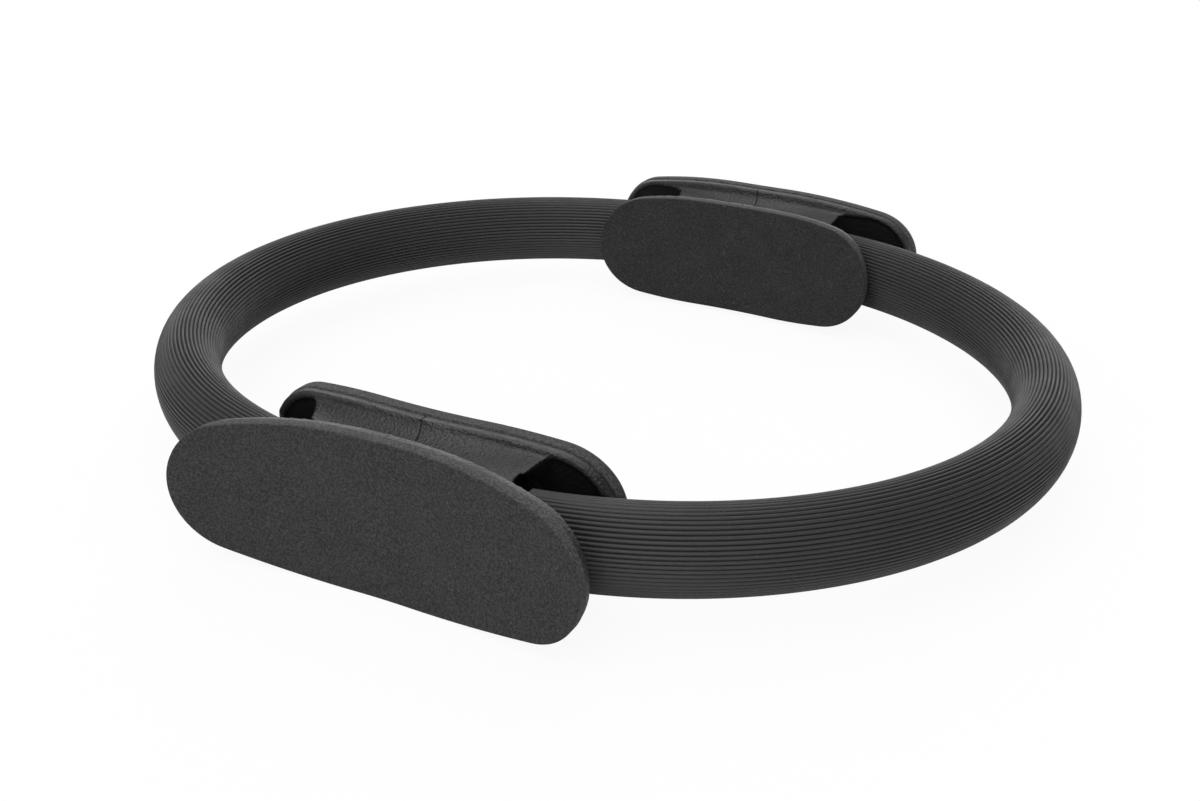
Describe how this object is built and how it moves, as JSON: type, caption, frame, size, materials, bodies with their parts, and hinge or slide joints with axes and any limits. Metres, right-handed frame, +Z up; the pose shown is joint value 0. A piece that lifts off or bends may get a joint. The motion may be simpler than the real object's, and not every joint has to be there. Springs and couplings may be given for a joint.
{
  "type": "pilates ring",
  "caption": "Springy exercise ring of ribbed foam-covered half hoops with two padded, hollow-faced handles that are squeezed together or pressed apart.",
  "frame": {"origin": "middle of the ring, on the floor that its two handles rest on", "axes": "+Z up out of the ring's plane, +Y from the front handle to the rear one, +X across the ring's wide way"},
  "size_m": [0.3834, 0.3672, 0.059],
  "materials": {
    "pad_foam": "fine-celled matte foam",
    "sleeve_foam": "ribbed matte foam",
    "shell_plastic": "moulded satin",
    "glass_fibre": "pultruded strip",
    "backing_steel": "plain sheet",
    "screw_steel": "zinc plated"
  },
  "bodies": {
    "front_handle": {"front_left_shell": "shell_plastic", "front_right_shell": "shell_plastic", "front_outer_plate": "backing_steel", "front_inner_plate": "backing_steel", "front_outer_pad": "pad_foam", "front_inner_pad": "pad_foam", "front_clamp_screws": "screw_steel", "left_band": "glass_fibre", "right_band": "glass_fibre"},
    "left_front_arc": {"left_front_sleeve": "sleeve_foam"},
    "left_crown": {"left_front_crown": "sleeve_foam", "left_rear_crown": "sleeve_foam"},
    "left_rear_arc": {"left_rear_sleeve": "sleeve_foam"},
    "rear_handle": {"rear_left_shell": "shell_plastic", "rear_right_shell": "shell_plastic", "rear_outer_plate": "backing_steel", "rear_inner_plate": "backing_steel", "rear_outer_pad": "pad_foam", "rear_inner_pad": "pad_foam", "rear_clamp_screws": "screw_steel"},
    "right_front_arc": {"right_front_sleeve": "sleeve_foam"},
    "right_front_crown": {"right_front_crown": "sleeve_foam"},
    "right_rear_arc": {"right_rear_sleeve": "sleeve_foam"},
    "right_rear_crown": {"right_rear_crown": "sleeve_foam"}
  },
  "joints": [
    {"name": "front_left_flex", "type": "hinge", "parent": "front_handle", "child": "left_front_arc", "pos_m": [-0.0515, -0.15575, 0.0295], "axis": [0, 0, 1], "range_deg": [-4, 15], "stiffness_Nm_per_rad": 8, "deforming": ["left_band"]},
    {"name": "left_front_crown_flex", "type": "hinge", "parent": "left_front_arc", "child": "left_crown", "pos_m": [-0.15468, -0.05462, 0.0295], "axis": [0, 0, -1], "range_deg": [-4, 15], "stiffness_Nm_per_rad": 8},
    {"name": "left_rear_crown_flex", "type": "hinge", "parent": "left_crown", "child": "left_rear_arc", "pos_m": [-0.15468, 0.05462, 0.0295], "axis": [0, 0, -1], "range_deg": [-4, 15], "stiffness_Nm_per_rad": 8},
    {"name": "rear_left_flex", "type": "hinge", "parent": "left_rear_arc", "child": "rear_handle", "pos_m": [-0.0515, 0.15575, 0.0295], "axis": [0, 0, 1], "range_deg": [-4, 15], "stiffness_Nm_per_rad": 8},
    {"name": "front_right_flex", "type": "hinge", "parent": "front_handle", "child": "right_front_arc", "pos_m": [0.0515, -0.15575, 0.0295], "axis": [0, 0, -1], "range_deg": [-4, 15], "stiffness_Nm_per_rad": 8, "deforming": ["right_band"]},
    {"name": "right_front_crown_flex", "type": "hinge", "parent": "right_front_arc", "child": "right_front_crown", "pos_m": [0.15468, -0.05462, 0.0295], "axis": [0, 0, 1], "range_deg": [-4, 15], "stiffness_Nm_per_rad": 8},
    {"name": "rear_right_flex", "type": "hinge", "parent": "rear_handle", "child": "right_rear_arc", "pos_m": [0.0515, 0.15575, 0.0295], "axis": [0, 0, 1], "range_deg": [-4, 15], "stiffness_Nm_per_rad": 8},
    {"name": "right_rear_crown_flex", "type": "hinge", "parent": "right_rear_arc", "child": "right_rear_crown", "pos_m": [0.15468, 0.05462, 0.0295], "axis": [0, 0, -1], "range_deg": [-4, 15], "stiffness_Nm_per_rad": 8}
  ],
  "couplings": [
    {"joint": "left_front_crown_flex", "follows": "front_left_flex", "ratio": 1},
    {"joint": "left_rear_crown_flex", "follows": "front_left_flex", "ratio": 1},
    {"joint": "rear_left_flex", "follows": "front_left_flex", "ratio": 1},
    {"joint": "front_right_flex", "follows": "front_left_flex", "ratio": 1},
    {"joint": "right_front_crown_flex", "follows": "front_left_flex", "ratio": 1},
    {"joint": "rear_right_flex", "follows": "front_left_flex", "ratio": 1},
    {"joint": "right_rear_crown_flex", "follows": "front_left_flex", "ratio": 1}
  ]
}
